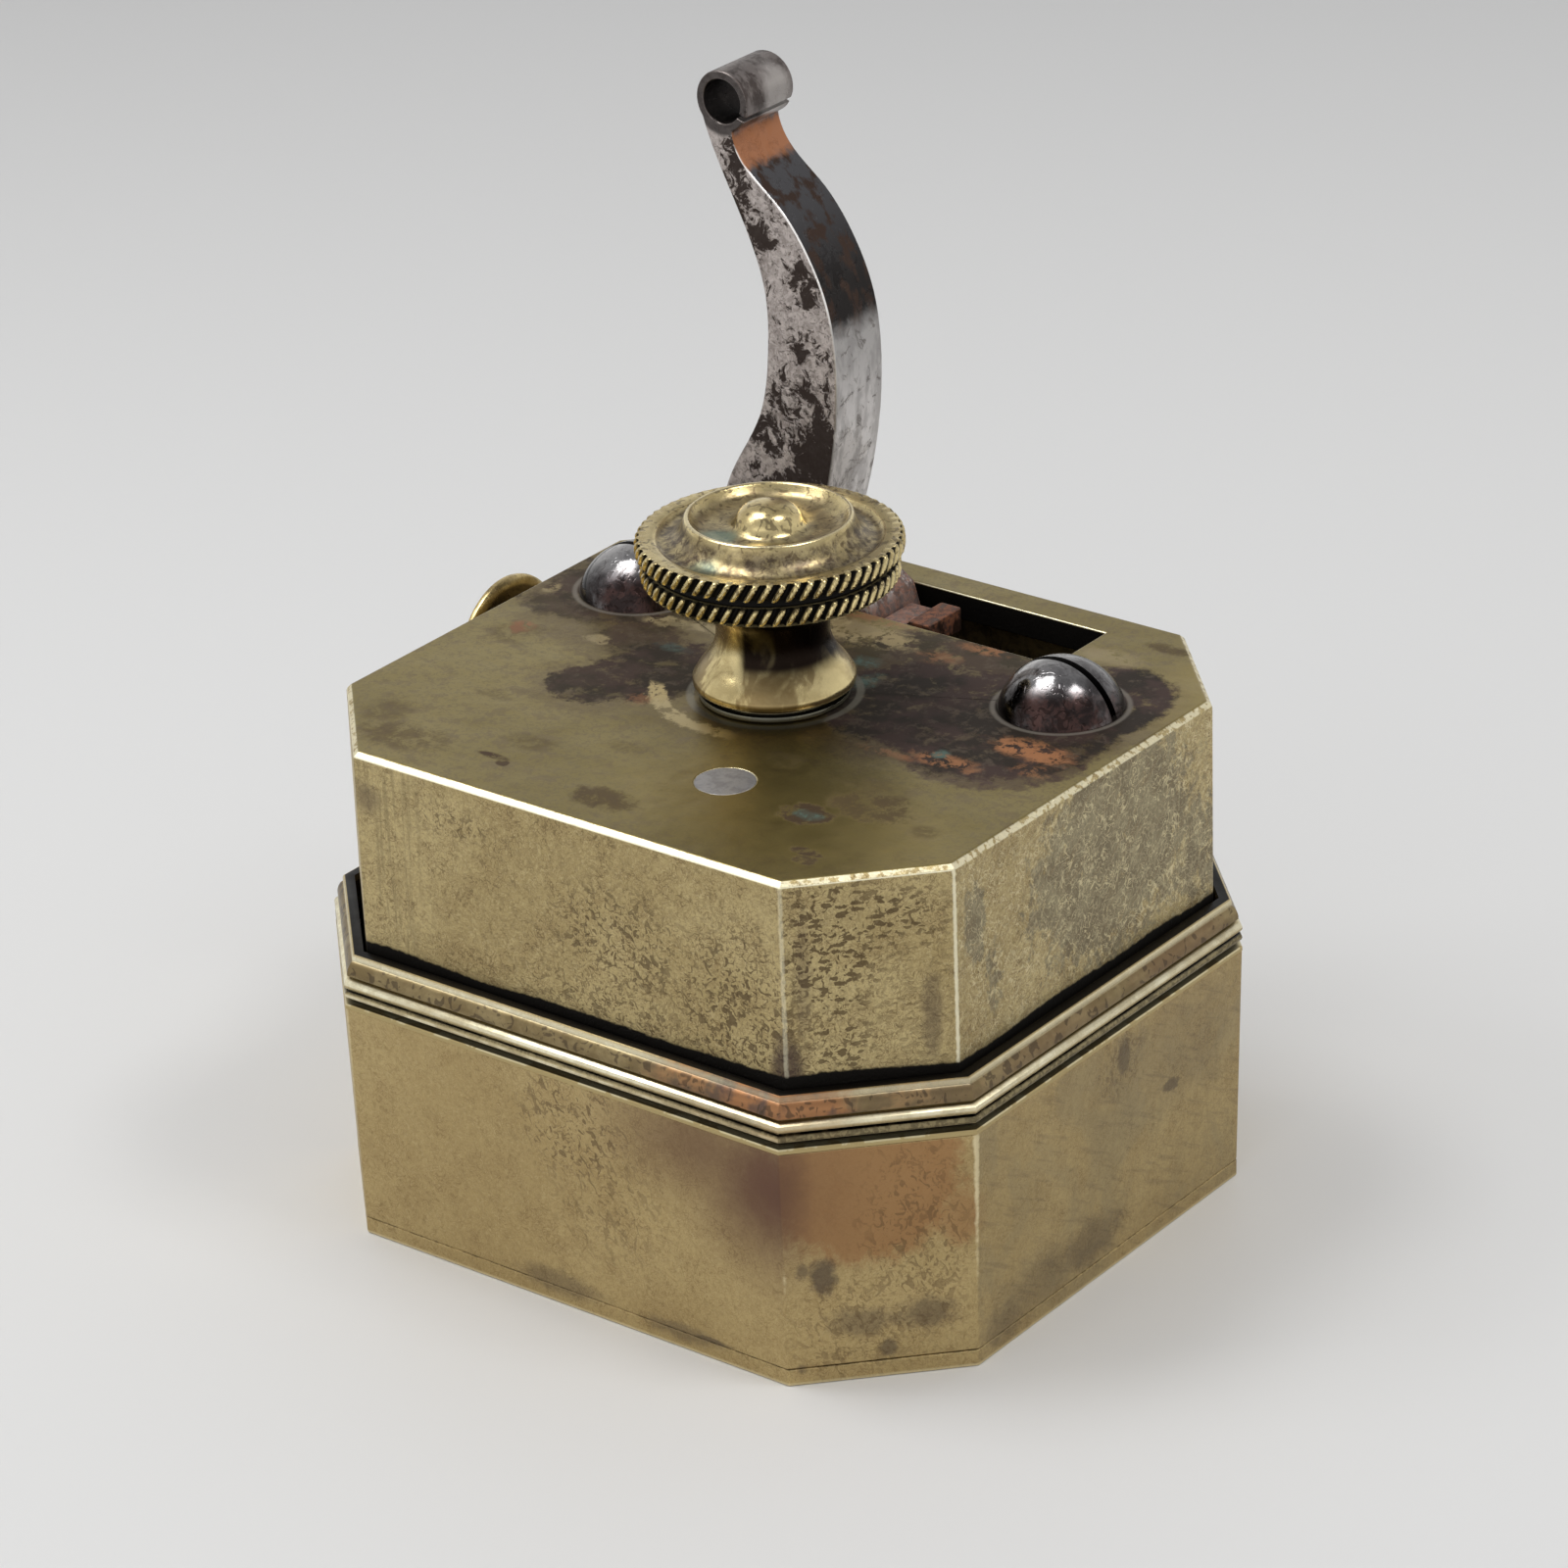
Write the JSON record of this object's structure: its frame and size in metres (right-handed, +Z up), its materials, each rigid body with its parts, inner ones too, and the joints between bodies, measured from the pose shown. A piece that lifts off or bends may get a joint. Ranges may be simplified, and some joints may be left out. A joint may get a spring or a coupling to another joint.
{
  "type": "scarificator",
  "caption": "Octagonal brass spring device: cocking lever in a slot, rope-edged depth knob, side trigger, slit base plate with sweeping blades.",
  "frame": {"origin": "centre of the underside of the slit plate, on the axis of the depth knob", "axes": "+Z up along the depth knob axis, +X to the right along the longer front face, +Y to the back, where the lever slot is"},
  "size_m": [0.0446, 0.04, 0.0589],
  "materials": {
    "housing_brass": "aged, tarnished",
    "cover_brass": "aged, tarnished",
    "knob_brass": "polished by handling",
    "inner_brass": "satin",
    "lever_steel": "pitted, rust stained",
    "screw_steel": "dark polished dome",
    "blade_steel": "ground",
    "steel": "dull"
  },
  "bodies": {
    "cover": {"slit_plate": "cover_brass", "cover_walls": "cover_brass", "cover_moulding": "cover_brass", "cover_post": "cover_brass"},
    "housing": {"back_pillar_left": "steel", "back_pillar_right": "steel", "back_plate": "inner_brass", "frame_bridge": "inner_brass", "frame_screw_left": "screw_steel", "frame_screw_right": "screw_steel", "front_pillar_left": "steel", "front_pillar_right": "steel", "front_plate": "inner_brass", "lever_pivot": "steel", "mainspring": "steel", "middle_plate": "inner_brass", "pivot_washers": "steel", "sear_bracket": "steel", "sear_spring": "steel", "spring_nut": "steel", "spring_stud": "steel", "trigger_bush": "inner_brass", "upper_housing": "housing_brass"},
    "knob": {"depth_knob": "knob_brass", "depth_spindle": "steel", "spindle_collar": "inner_brass", "collar_pin": "steel"},
    "lever": {"cocking_lever": "lever_steel", "drive_sector": "steel", "sector_rivets": "steel"},
    "left_arbor_set": {"left_arbor": "steel", "left_blade_1": "blade_steel", "left_blade_2": "blade_steel", "left_blade_3": "blade_steel", "left_blade_4": "blade_steel", "left_blade_5": "blade_steel", "left_blade_6": "blade_steel", "left_pinion": "steel", "left_spacers": "inner_brass", "tumbler_cam": "steel"},
    "right_arbor_set": {"right_arbor": "steel", "right_blade_1": "blade_steel", "right_blade_2": "blade_steel", "right_blade_3": "blade_steel", "right_blade_4": "blade_steel", "right_blade_5": "blade_steel", "right_blade_6": "blade_steel", "right_pinion": "steel", "right_spacers": "inner_brass"},
    "trigger": {"trigger_button": "knob_brass", "trigger_stem": "steel"},
    "sear": {"sear_shaft": "steel", "sear_front_arm": "steel", "sear_rear_arm": "steel"}
  },
  "joints": [
    {"name": "depth_slide", "type": "slide", "parent": "cover", "child": "housing", "axis": [0, 0, 1], "range_m": [-0.0022, 0.001]},
    {"name": "knob_turn", "type": "hinge", "parent": "housing", "child": "knob", "pos_m": [0, 0, 0.03], "axis": [0, 0, 1], "range_deg": [-990.5, 450.5]},
    {"name": "lever_swing", "type": "hinge", "parent": "housing", "child": "lever", "pos_m": [0, 0.0137, 0.02], "axis": [0, 1, 0], "range_deg": [0, 68], "stiffness_Nm_per_rad": 0.004, "springref_deg": -34.38, "deforming": ["mainspring"]},
    {"name": "left_arbor_turn", "type": "hinge", "parent": "housing", "child": "left_arbor_set", "pos_m": [-0.009, 0, 0.00928], "axis": [0, 1, 0], "range_deg": [-172, 0.5]},
    {"name": "right_arbor_turn", "type": "hinge", "parent": "housing", "child": "right_arbor_set", "pos_m": [0.009, 0, 0.00928], "axis": [0, 1, 0], "range_deg": [-172, 0.5]},
    {"name": "trigger_press", "type": "slide", "parent": "housing", "child": "trigger", "axis": [1, 0, 0], "range_m": [0, 0.0008], "stiffness_N_per_m": 400, "springref_m": -0.0005},
    {"name": "sear_rock", "type": "hinge", "parent": "housing", "child": "sear", "pos_m": [-0.0166, 0.008, 0.0224], "axis": [0, 1, 0], "range_deg": [-0.5, 20.5], "deforming": ["sear_spring"]}
  ],
  "couplings": [
    {"joint": "knob_turn", "follows": "depth_slide", "rad_per_m": 7854},
    {"joint": "left_arbor_turn", "follows": "lever_swing", "ratio": -2.5},
    {"joint": "right_arbor_turn", "follows": "lever_swing", "ratio": -2.5},
    {"joint": "sear_rock", "follows": "trigger_press", "rad_per_m": 430}
  ]
}
